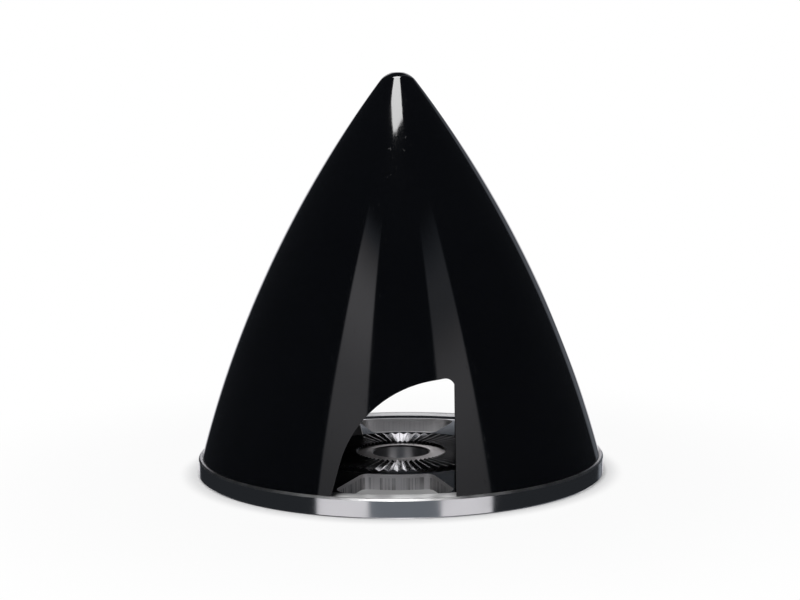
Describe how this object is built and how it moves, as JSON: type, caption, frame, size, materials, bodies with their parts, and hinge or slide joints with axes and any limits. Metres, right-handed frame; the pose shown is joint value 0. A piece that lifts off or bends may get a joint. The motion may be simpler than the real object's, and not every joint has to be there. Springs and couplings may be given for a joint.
{
  "type": "propeller spinner",
  "caption": "Pointed propeller spinner: hollow moulded ogive cone with blade openings, screwed to a turned backplate that has a serrated hub seat and a shaft bore.",
  "frame": {"origin": "centre of the backplate's flat rear face, which is also the bottom centre of the whole part", "axes": "+Z along the propeller shaft's axis towards the nose of the cone; the blade openings face -Y and +Y; the two cone screws stand on -X and +X"},
  "size_m": [0.057, 0.057, 0.0555],
  "materials": {
    "cone_plastic": "moulded, high gloss",
    "plate_aluminium": "turned, fine circular tool marks",
    "screw_steel": "black oxide"
  },
  "bodies": {
    "root": {"spinner_cone": "cone_plastic", "backplate": "plate_aluminium", "cone_screw_right": "screw_steel", "cone_screw_left": "screw_steel"}
  },
  "joints": []
}
